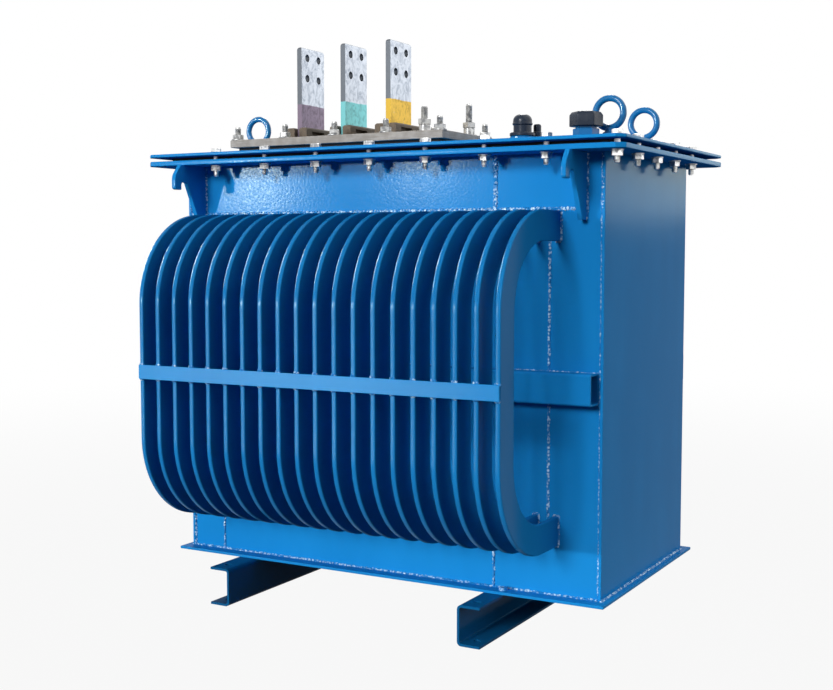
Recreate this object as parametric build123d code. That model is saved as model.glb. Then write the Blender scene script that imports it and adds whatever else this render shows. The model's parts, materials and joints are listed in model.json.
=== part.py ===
"""Furnace transformer: a welded oil tank on two channel skids, with a bank of
bent flat cooling tubes on each long side and a bolted cover that carries the
terminal board, three bare busbars, a filler and lifting rings.

Millimetres. +X runs along the tank, -Y is the front, +Z is up. The origin is
on the floor under the middle of the cover.
"""
import os

from build123d import *

# Skids: cold-bent channels along Y, webs inside, flanges outwards
skid_height = 80.0
skid_flange = 48.0
skid_thickness = 5.0
skid_bend_radius = 9.0
skid_end_reach = 100.0
skid_left_gap = 197.5
skid_right_gap = 240.5
skid_hole_diameter = 14.0
skid_hole_web_gap = 27.0
skid_hole_end_gap = 34.0

# Tank: base plate and four welded walls
tank_length = 978.0
tank_depth = 494.0
base_side_lip = 15.0
base_front_lip = 27.0
base_thickness = 6.0
wall_thickness = 6.0
wall_height = 846.0
front_recess = 4.0

# Rim, gasket and cover
cover_side_overhang = 60.0
cover_front_overhang = 72.0
cover_thickness = 6.5
cover_corner = 15.0
rim_thickness = 10.0
gasket_thickness = 8.8
gasket_edge_gap = 42.0

# Cooling tubes: flat section, bent twice, both ends in the wall
tube_count = 20
tube_group_size = 5
tube_thickness = 10.0
tube_width = 58.0
tube_bend_radius = 158.0
tube_projection = 264.0
tube_top_drop = 107.0
tube_bottom_rise = 97.0
bank_left_gap = 86.0
bank_right_gap = 94.0

# Strap across the tube noses and box stiffener on the wall behind the tubes
strap_height = 29.0
strap_thickness = 4.5
stiffener_height = 60.0
stiffener_depth = 40.0
stiffener_wall = 4.0
stiffener_corner = 5.0
stiffener_drop = 14.0
stiffener_end_gap = 11.0

# Lifting lugs under the rim
lug_thickness = 10.0
lug_inset = 42.0
lug_reach = 105.0
lug_head_reach = 86.0
lug_shoulder_drop = 24.0
lug_shoulder_corner = 28.0
lug_tip_height = 53.0
lug_tip_corner = 6.0
lug_notch_offset = 75.0
lug_notch_width = 18.0
lug_notch_depth = 16.5
lug_notch_corner = 7.0
lug_foot_reach = 23.0
lug_foot_drop = 126.0

# Terminal board on a collar and its gasket
board_length = 527.0
board_depth = 230.0
board_thickness = 16.5
board_left_gap = 157.5
board_front_gap = 97.0
collar_height = 10.0
collar_width = 30.0
collar_inset = 14.0
board_gasket_thickness = 6.2

# Busbars in clamp blocks
bar_pitch = 112.0
bar_shift = -15.5
bar_width = 88.0
bar_thickness = 12.0
bar_height = 201.0
bar_hole_diameter = 16.0
bar_hole_spacing = 44.0
bar_hole_edge = 22.0
clamp_width = 20.0
clamp_depth = 112.0
clamp_height = 26.0
clamp_corner = 3.0

# Terminal studs on the board: washer, collar, nut and stud
stud_diameter = 14.5
stud_tip_height = 3.0
stud_washer_diameter = 34.0
stud_washer_height = 5.0
stud_collar_diameter = 24.0
stud_collar_height = 14.0
stud_nut_flats = 24.0
stud_nut_height = 12.0
front_stud_height = 57.0
front_stud_end_gap = 80.5
front_stud_edge_gap = 72.0
rear_stud_height = 70.0
rear_stud_end_gap = 35.5
rear_stud_edge_gap = 43.0

# Lifting rings on the cover
ring_diameter = 67.0
ring_wire = 12.5
ring_lift = 46.0
ring_neck_diameter = 16.0
ring_collar_diameter = 26.0
ring_collar_height = 10.0
front_ring_end_gap = 62.0
front_ring_edge_gap = 94.0
middle_ring_end_gap = 73.0
left_ring_board_gap = 17.0
left_ring_extra_lift = 17.0
left_ring_back_shift = 14.0

# Filler, with hexagonal socket and cap
filler_end_gap = 90.0
filler_edge_gap = 49.0
filler_socket_flats = 42.0
filler_socket_height = 18.0
filler_turn = 19.0
filler_cap_flats = 54.0
filler_cap_height = 27.0
filler_cap_corner = 4.0

# Thermometer pocket with a domed cap, and the small plug beside it
pocket_board_gap = 141.5
pocket_edge_gap = 169.0
pocket_socket_diameter = 50.0
pocket_socket_height = 18.0
pocket_cap_diameter = 40.0
pocket_cap_height = 43.0
pocket_cap_crown = 13.0
plug_offset_x = 18.0
plug_offset_y = 32.0
plug_foot_diameter = 20.0
plug_foot_height = 26.0
plug_diameter = 16.0
plug_height = 44.0

# Levels and faces worked out from the sizes above
base_length = tank_length + 2 * base_side_lip
base_depth = tank_depth + 2 * base_front_lip
cover_length = tank_length + 2 * cover_side_overhang
cover_depth = tank_depth + 2 * cover_front_overhang
skid_length = base_depth + 2 * skid_end_reach
skid_web_spacing = tank_length - skid_left_gap - skid_right_gap
skid_shift = (skid_left_gap - skid_right_gap) / 2
base_top = skid_height + base_thickness
wall_top = base_top + wall_height
rim_top = wall_top + rim_thickness
cover_bottom = rim_top + gasket_thickness
cover_top = cover_bottom + cover_thickness
front_face = tank_depth / 2 - front_recess
inner_length = tank_length - 2 * wall_thickness
inner_depth = 2 * (front_face - wall_thickness)
tube_top = wall_top - tube_top_drop
tube_bottom = base_top + tube_bottom_rise
bank_middle = (tube_top + tube_bottom) / 2
nose_face = front_face + tube_projection
tube_pitch = (tank_length - bank_left_gap - bank_right_gap) / (tube_count - 1)
bank_length = (tube_count - 1) * tube_pitch + tube_thickness
bank_shift = (bank_left_gap - bank_right_gap) / 2
collar_top = cover_top + collar_height
board_bottom = collar_top + board_gasket_thickness
board_top = board_bottom + board_thickness
board_left = board_left_gap - cover_length / 2
board_right = board_left + board_length
board_front = board_front_gap - cover_depth / 2
board_back = board_front + board_depth
board_shift_x = (board_left + board_right) / 2
board_shift_y = (board_front + board_back) / 2


def upright(outline, bottom, height):
    """Extrude a plan outline upwards from a level."""
    return Pos(0, 0, bottom) * extrude(outline, height)


def frame_plan(length, depth, opening_length, opening_depth, corner=0):
    """Plan of a rectangular ring, with cut outer corners if asked for."""
    plan = Rectangle(length, depth)
    if corner > 0:
        plan = chamfer(plan.vertices(), corner)
    return plan - Rectangle(opening_length, opening_depth)


def turned(outline):
    """Revolve a half section, drawn with radius and height, about +Z."""
    return revolve(Plane.XZ * make_face(outline), Axis.Z)


def hexagon(flats):
    """Plan of a hexagon with the given size across flats."""
    return RegularPolygon(flats / 2, 6, major_radius=False)


def skid(side):
    """Channel along Y whose flanges point to the given side of X."""
    bend = skid_bend_radius - skid_thickness
    outside = Rectangle(skid_flange, skid_height, align=(Align.MIN, Align.MIN))
    outside = fillet(outside.vertices().group_by(Axis.X)[0], skid_bend_radius)
    hollow = Pos(skid_thickness, skid_thickness) * Rectangle(
        skid_flange, skid_height - 2 * skid_thickness, align=(Align.MIN, Align.MIN)
    )
    hollow = fillet(hollow.vertices().group_by(Axis.X)[0], bend)
    bar = extrude(Plane.XZ * (outside - hollow), skid_length / 2, both=True)
    drill = Cylinder(skid_hole_diameter / 2, 2 * skid_height)
    for end in (-1, 1):
        hole_y = end * (skid_length / 2 - skid_hole_end_gap)
        bar -= Pos(skid_hole_web_gap, hole_y, 0) * drill
    if side < 0:
        bar = mirror(bar, about=Plane.YZ)
    return Pos(skid_shift + side * skid_web_spacing / 2, 0, 0) * bar


def long_wall():
    """Front wall, set back between the two end walls."""
    plate = Box(inner_length, wall_thickness, wall_height)
    middle = front_face - wall_thickness / 2
    return Pos(0, -middle, base_top + wall_height / 2) * plate


def end_wall(side):
    """End wall over the full depth of the tank."""
    plate = Box(wall_thickness, tank_depth, wall_height)
    middle = (tank_length - wall_thickness) / 2
    return Pos(side * middle, 0, base_top + wall_height / 2) * plate


def cooling_tube():
    """One flat tube of the front bank: out of the wall, down, and back."""
    top = tube_top - tube_width / 2
    bottom = tube_bottom + tube_width / 2
    nose = -(nose_face - tube_width / 2)
    path = FilletPolyline(
        (0, -front_face, top),
        (0, nose, top),
        (0, nose, bottom),
        (0, -front_face, bottom),
        radius=tube_bend_radius,
    )
    mouth = Plane(origin=(0, -front_face, top), x_dir=(1, 0, 0), z_dir=(0, -1, 0))
    return sweep(mouth * Rectangle(tube_thickness, tube_width), path=path)


def tube_group(tube, group):
    """Neighbouring tubes of a bank, counted from the left end."""
    first_x = bank_shift - (tube_count - 1) * tube_pitch / 2
    numbers = range(group * tube_group_size, (group + 1) * tube_group_size)
    return Compound([Pos(first_x + n * tube_pitch, 0, 0) * tube for n in numbers])


def strap():
    """Flat bar welded across the noses of the front tubes."""
    bar = Box(bank_length, strap_thickness, strap_height)
    return Pos(bank_shift, -(nose_face + strap_thickness / 2), bank_middle) * bar


def stiffener():
    """Open-ended box section along the front wall, behind the tubes."""
    outside = Rectangle(stiffener_depth, stiffener_height)
    inside = Rectangle(
        stiffener_depth - 2 * stiffener_wall, stiffener_height - 2 * stiffener_wall
    )
    outside = fillet(outside.vertices(), stiffener_corner)
    inside = fillet(inside.vertices(), stiffener_corner - stiffener_wall)
    bar = extrude(Plane.YZ * (outside - inside), tank_length / 2 - stiffener_end_gap, both=True)
    middle_y = -(front_face + stiffener_depth / 2)
    return Pos(0, middle_y, bank_middle - stiffener_drop) * bar


def lug(side):
    """Front lifting lug: a plate under the rim with a hooked, notched tip."""
    notch_top = lug_notch_depth - lug_tip_height
    notch_outside = -(lug_notch_offset + lug_notch_width / 2)
    notch_inside = -(lug_notch_offset - lug_notch_width / 2)
    outline = Polyline(
        (0, 0),
        (-lug_head_reach, 0),
        (-lug_reach, -lug_shoulder_drop),
        (-lug_reach, -lug_tip_height),
        (notch_outside, -lug_tip_height),
        (notch_outside, notch_top),
        (notch_inside, notch_top),
        (-lug_foot_reach, -lug_foot_drop),
        (0, -lug_foot_drop),
        close=True,
    )
    corners = {
        (-lug_reach, -lug_shoulder_drop): lug_shoulder_corner,
        (-lug_reach, -lug_tip_height): lug_tip_corner,
        (notch_outside, notch_top): lug_notch_corner,
        (notch_inside, notch_top): lug_notch_corner,
    }
    plate = make_face(outline)
    for (x, y), corner in corners.items():
        plate = fillet(plate.vertices().sort_by_distance((x, y, 0))[:1], corner)
    solid = extrude(Plane.YZ * plate, lug_thickness / 2, both=True)
    middle_x = side * (tank_length / 2 - lug_inset)
    return Pos(middle_x, -front_face, wall_top) * solid


def board_frame(bottom, height):
    """Ring under the terminal board."""
    length = board_length - 2 * collar_inset
    depth = board_depth - 2 * collar_inset
    plan = frame_plan(length, depth, length - 2 * collar_width, depth - 2 * collar_width)
    return Pos(board_shift_x, board_shift_y, 0) * upright(plan, bottom, height)


def busbar():
    """Flat bar standing on the board, four holes near its top."""
    plan = Rectangle(bar_width, bar_height, align=(Align.CENTER, Align.MIN))
    hole_z = bar_height - bar_hole_edge - bar_hole_spacing / 2
    hole = Circle(bar_hole_diameter / 2)
    for spot in GridLocations(bar_hole_spacing, bar_hole_spacing, 2, 2):
        plan -= Pos(0, hole_z) * spot * hole
    return extrude(Plane.YZ * plan, bar_thickness / 2, both=True)


def bar_clamp():
    """Pair of blocks that grip the foot of a busbar."""
    middle = (bar_thickness + clamp_width) / 2
    block = Box(clamp_width, clamp_depth, clamp_height)
    block = chamfer(block.edges().group_by(Axis.Z)[-1], clamp_corner)
    return Compound([Pos(side * middle, 0, clamp_height / 2) * block for side in (-1, 1)])


def terminal_stud(height):
    """Stud with its washer, insulating collar and nut, foot at zero."""
    collar_end = stud_washer_height + stud_collar_height
    radius = stud_diameter / 2
    washer = stud_washer_diameter / 2
    collar = stud_collar_diameter / 2
    outline = Polyline(
        (0, 0),
        (washer, 0),
        (washer, stud_washer_height),
        (collar, stud_washer_height),
        (collar, collar_end),
        (radius, collar_end),
        (radius, height - stud_tip_height),
        (radius - stud_tip_height, height),
        (0, height),
        close=True,
    )
    return turned(outline) + upright(hexagon(stud_nut_flats), collar_end, stud_nut_height)


def lifting_ring(lift):
    """Welded ring on a turned foot, ring in the XZ plane."""
    bend = (ring_diameter - ring_wire) / 2
    ring = Pos(0, 0, lift) * Rot(90, 0, 0) * Torus(bend, ring_wire / 2)
    neck = upright(Circle(ring_neck_diameter / 2), 0, lift - bend)
    foot = upright(Circle(ring_collar_diameter / 2), 0, ring_collar_height)
    return foot + neck + ring


def filler_cap():
    """Hexagonal cap with rounded corners."""
    plan = fillet(hexagon(filler_cap_flats).vertices(), filler_cap_corner)
    cap = extrude(plan, filler_cap_height)
    return chamfer(cap.edges().group_by(Axis.Z)[-1], filler_cap_corner / 2)


def pocket_cap():
    """Cap with a round crown over the thermometer pocket."""
    cap = extrude(Circle(pocket_cap_diameter / 2), pocket_cap_height)
    return fillet(cap.edges().group_by(Axis.Z)[-1], pocket_cap_crown)


def plug():
    """Small stepped plug that stands on the cover."""
    foot = plug_foot_diameter / 2
    top = plug_diameter / 2
    outline = Polyline(
        (0, 0),
        (foot, 0),
        (foot, plug_foot_height),
        (top, plug_foot_height),
        (top, plug_height),
        (0, plug_height),
        close=True,
    )
    return turned(outline)


def cover_point(end_gap, edge_gap):
    """Place on the cover, measured from its right end and its front edge."""
    return Pos(cover_length / 2 - end_gap, edge_gap - cover_depth / 2, cover_top)


def board_point(x, y):
    """Place on top of the terminal board."""
    return Pos(x, y, board_top)


def back(shape):
    """The same piece on the back of the tank."""
    return mirror(shape, about=Plane.XZ)


def build():
    """All pieces by name."""
    parts = {"left_skid": skid(-1), "right_skid": skid(1)}

    base = Rectangle(base_length, base_depth)
    parts["base_plate"] = upright(base, skid_height, base_thickness)
    parts["front_wall"] = long_wall()
    parts["back_wall"] = back(long_wall())
    parts["left_wall"] = end_wall(-1)
    parts["right_wall"] = end_wall(1)

    rim = frame_plan(cover_length, cover_depth, inner_length, inner_depth, cover_corner)
    seal_length = cover_length - 2 * gasket_edge_gap
    seal_depth = cover_depth - 2 * gasket_edge_gap
    seal = frame_plan(seal_length, seal_depth, inner_length, inner_depth)
    lid = chamfer(Rectangle(cover_length, cover_depth).vertices(), cover_corner)
    parts["rim_flange"] = upright(rim, wall_top, rim_thickness)
    parts["rim_gasket"] = upright(seal, rim_top, gasket_thickness)
    parts["cover"] = upright(lid, cover_bottom, cover_thickness)

    tube = cooling_tube()
    for group in range(tube_count // tube_group_size):
        tubes = tube_group(tube, group)
        parts[f"front_tubes_{group + 1}"] = tubes
        parts[f"back_tubes_{group + 1}"] = back(tubes)

    front_pieces = {
        "tube_strap": strap(),
        "stiffener": stiffener(),
        "left_lug": lug(-1),
        "right_lug": lug(1),
    }
    for name, piece in front_pieces.items():
        parts["front_" + name] = piece
        parts["back_" + name] = back(piece)

    board = Box(board_length, board_depth, board_thickness)
    board_middle = Pos(board_shift_x, board_shift_y, (board_bottom + board_top) / 2)
    parts["terminal_collar"] = board_frame(cover_top, collar_height)
    parts["board_gasket"] = board_frame(collar_top, board_gasket_thickness)
    parts["terminal_board"] = board_middle * board
    for number, side in enumerate(("left", "middle", "right")):
        bar_x = board_shift_x + bar_shift + (number - 1) * bar_pitch
        parts[side + "_busbar"] = board_point(bar_x, board_shift_y) * busbar()
        parts[side + "_bar_clamp"] = board_point(bar_x, board_shift_y) * bar_clamp()

    front_stud = board_point(board_right - front_stud_end_gap, board_front + front_stud_edge_gap)
    rear_stud = board_point(board_right - rear_stud_end_gap, board_back - rear_stud_edge_gap)
    parts["terminal_studs"] = Compound(
        [
            front_stud * terminal_stud(front_stud_height),
            rear_stud * terminal_stud(rear_stud_height),
        ]
    )

    left_ring_y = board_shift_y + left_ring_back_shift
    left_ring = Pos(board_left - left_ring_board_gap, left_ring_y, cover_top)
    parts["lifting_rings"] = Compound(
        [
            cover_point(front_ring_end_gap, front_ring_edge_gap) * lifting_ring(ring_lift),
            cover_point(middle_ring_end_gap, cover_depth / 2) * lifting_ring(ring_lift),
            left_ring * lifting_ring(ring_lift + left_ring_extra_lift),
        ]
    )

    filler = cover_point(filler_end_gap, filler_edge_gap) * Rot(0, 0, filler_turn)
    socket = extrude(hexagon(filler_socket_flats), filler_socket_height)
    pocket_end_gap = cover_length / 2 - board_right - pocket_board_gap
    pocket = cover_point(pocket_end_gap, pocket_edge_gap)
    pocket_socket = extrude(Circle(pocket_socket_diameter / 2), pocket_socket_height)
    parts["cover_sockets"] = Compound([filler * socket, pocket * pocket_socket])
    parts["cover_caps"] = Compound(
        [
            filler * Pos(0, 0, filler_socket_height) * filler_cap(),
            pocket * Pos(0, 0, pocket_socket_height) * pocket_cap(),
            pocket * Pos(plug_offset_x, plug_offset_y, 0) * plug(),
        ]
    )
    return parts


os.makedirs("parts", exist_ok=True)
for node, shape in build().items():
    export_step(shape, f"parts/{node}.step")
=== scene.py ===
"""Looks of a furnace transformer, built on its packed solids.

Laid out as an add-on: property groups hold the sizes and colours, one operator
makes each group of like pieces, and main() calls the operators in order.
Lengths are in metres, +X along the tank, -Y to the front, +Z up.
"""
import json
import math
from contextlib import contextmanager

import bpy
from bpy.props import FloatProperty, FloatVectorProperty, IntProperty, PointerProperty
from mathutils import Matrix, Vector


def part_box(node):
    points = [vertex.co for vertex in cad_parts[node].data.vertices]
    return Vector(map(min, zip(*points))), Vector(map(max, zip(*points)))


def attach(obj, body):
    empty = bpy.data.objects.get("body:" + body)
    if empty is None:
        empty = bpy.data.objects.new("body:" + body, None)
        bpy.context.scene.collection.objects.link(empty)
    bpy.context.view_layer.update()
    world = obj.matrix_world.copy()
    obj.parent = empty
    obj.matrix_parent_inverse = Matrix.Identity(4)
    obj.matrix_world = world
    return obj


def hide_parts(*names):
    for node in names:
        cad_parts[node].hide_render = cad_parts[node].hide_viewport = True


bl_info = {
    "name": "Furnace Transformer Looks",
    "version": (1, 0, 0),
    "blender": (4, 5, 0),
    "location": "3D View > Sidebar > Transformer",
    "description": "Paint, welds, bolts and fittings of a furnace transformer",
    "category": "Object",
}

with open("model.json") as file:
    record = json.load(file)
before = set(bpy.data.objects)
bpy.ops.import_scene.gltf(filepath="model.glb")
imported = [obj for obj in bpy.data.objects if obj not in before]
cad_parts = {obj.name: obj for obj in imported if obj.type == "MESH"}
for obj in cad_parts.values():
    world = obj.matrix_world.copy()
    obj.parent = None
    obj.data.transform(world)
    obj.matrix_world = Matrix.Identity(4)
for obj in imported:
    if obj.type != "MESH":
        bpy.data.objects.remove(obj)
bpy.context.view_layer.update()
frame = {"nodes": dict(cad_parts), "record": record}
NODES = frame["nodes"]
BODY = "root"
BANKS = ("front", "back")
GROUPS = (1, 2, 3, 4)
BARS = ("left", "middle", "right")
PAINT_SLOT = "blue_paint"

FRONT = Vector((0, -1, 0))
ALONG = Vector((1, 0, 0))
QUARTER_TURN = math.pi / 2
IN_PLACE = Matrix.Identity(4)
HALF_TURN = Matrix.Rotation(math.pi, 4, "Z")


def length(label, about, default):
    """A size that a user may change."""
    return FloatProperty(name=label, description=about, default=default, unit="LENGTH", precision=4)


def amount(label, about, default, least=1):
    """A whole number of like things."""
    return IntProperty(name=label, description=about, default=default, min=least)


def share(label, about, default):
    """A plain factor between 0 and 1."""
    return FloatProperty(name=label, description=about, default=default, min=0, max=1, subtype="FACTOR")


def lamp_level(label, about, default):
    """Strength of a lamp."""
    return FloatProperty(name=label, description=about, default=default, min=0)


def point(label, about, default):
    """A place, or a way that light travels."""
    return FloatVectorProperty(name=label, description=about, default=default, subtype="XYZ")


def colour(label, about, default):
    """A linear colour."""
    return FloatVectorProperty(
        name=label, description=about, default=default, size=3, min=0, max=1, subtype="COLOR"
    )


class TubeSizes(bpy.types.PropertyGroup):
    """Flat cooling tubes and their strap."""

    thickness: length("Thickness", "Tube section across the bank", 0.010)
    width: length("Width", "Tube section away from the wall", 0.058)
    bend: length("Bend radius", "Bend at the middle of the section", 0.158)
    rounding: length("Edge rounding", "Radius on the section's corners", 0.0024)
    bend_steps: amount("Bend steps", "Faces along one bend", 26, 6)
    per_group: amount("Tubes in a group", "Tubes in one node", 5, 2)


class PlateSizes(bpy.types.PropertyGroup):
    """Edges of plates, channels, bars and clamp blocks."""

    easing: length("Easing", "Rounding on the edges of painted plates", 0.0014)
    skid_easing: length("Skid easing", "Rounding on the edges of the skids", 0.0009)
    bar_easing: length("Bar easing", "Rounding on the edges and holes of the busbars", 0.0022)
    bar_corner: length("Bar corner", "Rounding of the busbars' top corners", 0.006)
    board_easing: length("Board easing", "Rounding on the terminal board", 0.0016)
    block_easing: length("Block easing", "Rounding on the clamp blocks", 0.0008)
    recess_rim: length("Recess rim", "Rim round the recess of a clamp block", 0.004)
    recess_depth: length("Recess depth", "Depth of that recess", 0.011)
    recess_place: length("Recess place", "Distance of the recess from the block's front", 0.036)
    recess_share: share("Recess share", "Part of the block's depth that the recess takes", 0.45)


class WeldSizes(bpy.types.PropertyGroup):
    """Weld beads and where the wall's seams run."""

    pitch: length("Ripple pitch", "Distance between the ripples of a bead", 0.0062)
    width: length("Width", "Width of a bead", 0.0086)
    upper_seam_width: length("Upper seam width", "Width of the beads over the tubes", 0.0115)
    thin_seam_width: length("Thin seam width", "Width of the narrow upright seams", 0.0062)
    height: length("Height", "Height of a bead", 0.0030)
    unevenness: length("Unevenness", "How far the ripples wander", 0.0009)
    wide_seam: length("Wide seam", "Place of the wall's full seam along X", 0.263)
    left_seam: length("Left seam", "Place of the wall's left seam along X", -0.401)
    right_seam: length("Right seam", "Place of the seam behind the last tube", 0.378)
    top_seam_rise: length("Top seam rise", "Height of the level seam over the tubes", 0.003)
    stiffener_sink: length("Stiffener sink", "Distance of its beads from its edges", 0.002)


class BoltSizes(bpy.types.PropertyGroup):
    """Rim bolts and board bolts."""

    radius: length("Thread radius", "Radius of the rim bolts' thread", 0.006)
    thread_pitch: length("Thread pitch", "Distance between thread crests", 0.0019)
    head_radius: length("Head radius", "Corner radius of heads and nuts", 0.0112)
    head_height: length("Head height", "Height of a hexagon head", 0.0082)
    nut_height: length("Nut height", "Height of a nut", 0.0098)
    chamfer: length("Chamfer", "Chamfer of heads and nuts", 0.0012)
    washer_radius: length("Washer radius", "Radius of the washers", 0.0128)
    washer_height: length("Washer height", "Thickness of the washers", 0.0024)
    washer_edge: length("Washer edge", "Height of a washer's eased edge", 0.0004)
    stud_end: length("Stud end", "Thread that stands out of a rim nut", 0.012)
    row_edge_gap: length("Front row gap", "Distance of the long rows from the cover's edge", 0.039)
    end_edge_gap: length("End row gap", "Distance of the end rows from the cover's edge", 0.026)
    row_pitch: length("Row pitch", "Distance between the bolts of a long row", 0.1283)
    row_count: amount("Bolts in a long row", "Without the corners", 7)
    end_pitch: length("End pitch", "Distance between the bolts of an end row", 0.112)
    end_count: amount("Bolts in an end row", "Without the corners", 4)
    board_count: amount("Board bolts", "Bolts along one side of the board", 5, 2)
    board_edge_gap: length("Board row gap", "Distance of the board bolts from its edges", 0.0125)
    board_radius: length("Board thread", "Radius of the board bolts' thread", 0.0066)
    board_nut: length("Board nut", "Corner radius of the board bolts' nuts", 0.01176)
    board_chamfer: length("Board chamfer", "Chamfer of the board bolts' nuts", 0.0013)
    board_washer: length("Board washer", "Radius of the board bolts' washers", 0.014336)
    board_stud: length("Board stud", "Thread that stands out of a board nut", 0.017)


class StudSizes(bpy.types.PropertyGroup):
    """Terminal studs on the board."""

    radius: length("Thread radius", "Radius of the studs' thread", 0.00725)
    thread_pitch: length("Thread pitch", "Distance between thread crests", 0.0021)
    washer_radius: length("Washer radius", "Radius of the washer", 0.017)
    washer_height: length("Washer height", "Thickness of the washer", 0.005)
    washer_edge: length("Washer edge", "Easing of the washer's edge", 0.001)
    collar_radius: length("Collar radius", "Radius of the collar", 0.0118)
    collar_top: length("Collar top", "Height of the collar's upper edge", 0.017)
    collar_neck: length("Collar neck", "Radius of the collar under the nut", 0.0105)
    nut_radius: length("Nut radius", "Corner radius of the nut", 0.0138)
    nut_bottom: length("Nut bottom", "Height of the nut's lower face", 0.019)
    nut_top: length("Nut top", "Height of the nut's upper face", 0.031)
    nut_chamfer: length("Nut chamfer", "Chamfer of the nut", 0.0015)
    front_height: length("Front stud", "Height of the front stud", 0.057)


class FittingSizes(bpy.types.PropertyGroup):
    """Rings, filler, domed cap and plug on the cover, and the drain boss."""

    ring_bend: length("Ring bend", "Ring radius at the middle of its wire", 0.02725)
    ring_wire: length("Ring wire", "Radius of the ring's wire", 0.00625)
    ring_neck: length("Ring neck", "Radius of the neck under a ring", 0.008)
    ring_foot: length("Ring foot", "Radius of the foot under a ring", 0.013)
    ring_foot_height: length("Ring foot height", "Height of the foot", 0.010)
    ring_edge: length("Ring edge", "Easing of the foot's edges", 0.002)
    filler_flats: length("Filler flats", "Filler cap across flats", 0.054)
    filler_height: length("Filler height", "Height of the filler cap", 0.027)
    filler_corner: length("Filler corner", "Rounding of the filler cap's corners", 0.0016)
    filler_edge: length("Filler edge", "Easing of the filler cap's lower edge", 0.002)
    filler_chamfer: length("Filler chamfer", "Chamfer of the filler cap's top", 0.006)
    filler_sink: length("Filler sink", "Depth of the filler cap's sunk middle", 0.003)
    socket_flats: length("Socket flats", "Filler socket across flats", 0.042)
    socket_height: length("Socket height", "Height of the filler socket", 0.018)
    socket_chamfer: length("Socket chamfer", "Chamfer of the sockets", 0.002)
    socket_neck: length("Socket neck", "Height of the neck over the filler socket", 0.003)
    filler_end_gap: length("Filler end gap", "Distance of the filler from the cover's right end", 0.090)
    filler_edge_gap: length("Filler edge gap", "Distance of the filler from the cover's front", 0.049)
    filler_turn: FloatProperty(
        name="Filler turn", description="Turn of the hexagons", default=math.radians(19), subtype="ANGLE"
    )
    pocket_end_gap: length("Pocket end gap", "Distance of the pocket from the cover's right end", 0.272)
    pocket_edge_gap: length("Pocket edge gap", "Distance of the pocket from the cover's front", 0.169)
    pocket_radius: length("Pocket radius", "Radius of the thermometer pocket's socket", 0.025)
    pocket_height: length("Pocket height", "Height of the pocket's socket", 0.018)
    cap_radius: length("Cap radius", "Radius of the domed cap", 0.020)
    cap_height: length("Cap height", "Height of the domed cap", 0.043)
    cap_crown: length("Cap crown", "Rounding of the domed cap's top", 0.013)
    cap_flange: length("Cap flange", "Height of the domed cap's flange", 0.007)
    cap_ledge: length("Cap ledge", "Height of the ledge under the crown", 0.007)
    cap_edge: length("Cap edge", "Easing of the domed cap's edges", 0.001)
    plug_radius: length("Plug radius", "Radius of the small plug's foot", 0.010)
    plug_height: length("Plug height", "Height of the small plug", 0.044)
    plug_chamfer: length("Plug chamfer", "Chamfer of the plug's hexagon", 0.0012)
    plug_shift: length("Plug shift", "Distance of the plug from the pocket along X", 0.018)
    plug_back_shift: length("Plug back shift", "Distance of the plug behind the pocket", 0.032)
    drain_place: length("Drain place", "Place of the drain boss along X", 0.291)
    drain_radius: length("Drain radius", "Radius of the drain boss", 0.0085)
    drain_gap: length("Drain gap", "Distance of the drain boss from the wall", 0.015)
    drain_reach: length("Drain reach", "How far the drain boss stands out of the base", 0.006)
    drain_edge: length("Drain edge", "Easing of the drain boss", 0.001)


class Colours(bpy.types.PropertyGroup):
    """Colours of the finishes, linear."""

    blue: colour("Blue", "Tank paint", (0.010, 0.235, 0.600))
    deep_blue: colour("Deep blue", "Tank paint where it lies thicker", (0.008, 0.208, 0.545))
    weld_blue: colour("Weld blue", "Paint between weld ripples", (0.009, 0.190, 0.500))
    # Painted highlight: this pale colour goes on the weld ripples' crests in place of highlights; the
    # paint's random pale flecks take a tenth of it.
    pale_fleck_and_painted_glint: colour("Glint", "Paint stretched thin over weld ripples", (0.64, 0.86, 0.97))
    zinc: colour("Zinc", "Plated bolts and nuts", (0.82, 0.82, 0.80))
    zinc_dull: colour("Dull zinc", "Plating where it has dulled", (0.40, 0.405, 0.41))
    tin: colour("Tin", "Tinned bars", (0.52, 0.56, 0.62))
    tin_dark: colour("Dark tin", "Smears on the tinned bars", (0.32, 0.36, 0.42))
    # Painted shade: this dark tin goes on every bar face that doesn't look along X, the edges and the
    # holes.
    tin_painted_shade: colour("Tin edge", "Sawn edges and holes of the bars", (0.13, 0.145, 0.165))
    band_left: colour("Left band", "Foot of the left bar", (0.26, 0.205, 0.275))
    band_middle: colour("Middle band", "Foot of the middle bar", (0.215, 0.60, 0.62))
    band_right: colour("Right band", "Foot of the right bar", (0.74, 0.48, 0.062))
    laminate: colour("Laminate", "Terminal board", (0.39, 0.365, 0.33))
    laminate_dark: colour("Dark laminate", "Plies and stains of the board", (0.255, 0.230, 0.200))
    block: colour("Block", "Clamp blocks", (0.135, 0.100, 0.066))
    block_dark: colour("Dark block", "Grain of the clamp blocks", (0.085, 0.068, 0.052))
    rubber: colour("Rubber", "Gaskets", (0.018, 0.018, 0.019))
    rubber_worn: colour("Worn rubber", "Grain of the gaskets", (0.05, 0.05, 0.052))
    plastic: colour("Plastic", "Black caps", (0.010, 0.018, 0.034))
    dust: colour("Dust", "Dust on the black caps", (0.055, 0.060, 0.075))
    floor: colour("Floor", "Studio floor", (0.08, 0.08, 0.08))


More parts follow.
